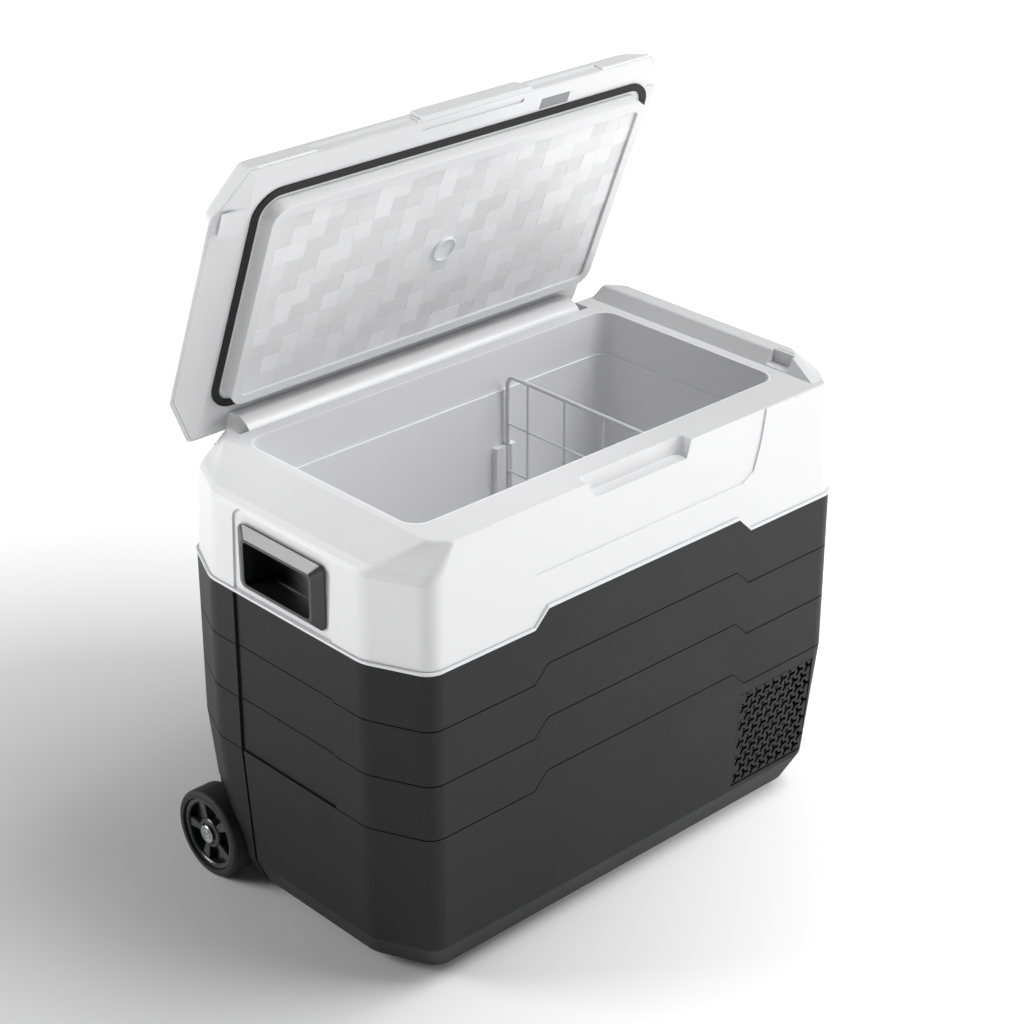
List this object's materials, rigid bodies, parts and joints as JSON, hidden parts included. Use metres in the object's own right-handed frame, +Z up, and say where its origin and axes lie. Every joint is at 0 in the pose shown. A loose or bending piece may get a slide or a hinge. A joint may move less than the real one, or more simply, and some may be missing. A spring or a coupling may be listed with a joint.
{
  "type": "wheeled compressor cooler",
  "caption": "Portable compressor cooler on two rear wheels: dark lower shell, white upper shell, hinged insulated lid standing open, wire divider, end grips and compressor bay.",
  "frame": {"origin": "on the floor, under the middle of the body", "axes": "+X along the length towards the console end, +Y towards the hinge side, +Z up"},
  "size_m": [0.7, 0.4342, 0.8845],
  "materials": {
    "shell_white": "satin white moulded shell",
    "shell_dark": "fine-grained dark moulded shell",
    "tub_grey": "smooth pale food-safe plastic",
    "black_plastic": "black moulded plastic",
    "grey_plastic": "grey moulded plastic",
    "foam": "rigid insulation foam",
    "rubber": "soft black rubber",
    "tyre": "black tyre",
    "steel": "plated steel",
    "white_wire": "white coated wire",
    "can_black": "black painted steel can",
    "copper": "copper tube",
    "aluminium": "plain aluminium",
    "board": "green circuit board",
    "clear": "dark clear window",
    "lamp": "milky lamp cover"
  },
  "bodies": {
    "cooler_body": {"axle_left": "steel", "axle_nut_left": "steel", "axle_nut_right": "steel", "axle_right": "steel", "base_plate": "shell_dark", "board_tray": "grey_plastic", "compressor": "can_black", "compressor_bolts": "steel", "compressor_mounts": "rubber", "condenser_coil": "copper", "condenser_fins": "aluminium", "console_cover": "shell_white", "control_bezel": "black_plastic", "control_board": "board", "discharge_line": "copper", "display_window": "clear", "evaporator_coil": "copper", "fan_shroud": "black_plastic", "filter_drier": "copper", "front_grille": "shell_dark", "front_skid": "rubber", "grip_left": "black_plastic", "grip_right": "black_plastic", "hinge_pin_left": "steel", "hinge_pin_right": "steel", "inner_tub": "tub_grey", "insulation_foam": "foam", "lower_shell": "shell_dark", "power_inlet": "black_plastic", "seam_trim": "shell_white", "side_grille": "shell_dark", "skid_screws": "steel", "suction_line": "copper", "temperature_probe": "black_plastic", "tub_lamp": "lamp", "upper_shell": "shell_white", "wheel_bracket_left": "steel", "wheel_bracket_right": "steel"},
    "lid": {"lid_shell": "shell_white", "lid_frame": "shell_white", "lid_panel": "shell_white", "lid_centre_cap": "shell_white", "lid_foam": "foam", "lid_gasket": "rubber", "lid_magnet_plate": "grey_plastic", "hinge_barrel": "shell_white"},
    "wheel_left": {"tyre_left": "tyre", "wheel_hub_left": "black_plastic"},
    "wheel_right": {"tyre_right": "tyre", "wheel_hub_right": "black_plastic"},
    "fan": {"fan_rotor": "black_plastic"},
    "divider": {"wire_divider": "white_wire"},
    "key_1": {"button_1": "grey_plastic"},
    "key_2": {"button_2": "grey_plastic"},
    "key_3": {"button_3": "grey_plastic"},
    "key_4": {"button_4": "grey_plastic"}
  },
  "joints": [
    {"name": "lid_hinge", "type": "hinge", "parent": "cooler_body", "child": "lid", "pos_m": [0, 0.184, 0.526], "axis": [-1, 0, 0], "range_deg": [-68.7, 25]},
    {"name": "wheel_left_spin", "type": "hinge", "parent": "cooler_body", "child": "wheel_left", "pos_m": [-0.33, 0.162, 0.054], "axis": [1, 0, 0], "continuous": true},
    {"name": "wheel_right_spin", "type": "hinge", "parent": "cooler_body", "child": "wheel_right", "pos_m": [0.33, 0.162, 0.054], "axis": [1, 0, 0], "continuous": true},
    {"name": "fan_spin", "type": "hinge", "parent": "cooler_body", "child": "fan", "pos_m": [0.232, -0.124, 0.108], "axis": [0, 1, 0], "continuous": true},
    {"name": "divider_lift", "type": "slide", "parent": "cooler_body", "child": "divider", "axis": [0, 0, 1], "range_m": [0, 0.014]},
    {"name": "key_1_press", "type": "slide", "parent": "cooler_body", "child": "key_1", "axis": [-0.9374, 0, -0.3482], "range_m": [0, 0.0008], "stiffness_N_per_m": 400},
    {"name": "key_2_press", "type": "slide", "parent": "cooler_body", "child": "key_2", "axis": [-0.9374, 0, -0.3482], "range_m": [0, 0.0008], "stiffness_N_per_m": 400},
    {"name": "key_3_press", "type": "slide", "parent": "cooler_body", "child": "key_3", "axis": [-0.9374, 0, -0.3482], "range_m": [0, 0.0008], "stiffness_N_per_m": 400},
    {"name": "key_4_press", "type": "slide", "parent": "cooler_body", "child": "key_4", "axis": [-0.9374, 0, -0.3482], "range_m": [0, 0.0008], "stiffness_N_per_m": 400}
  ]
}
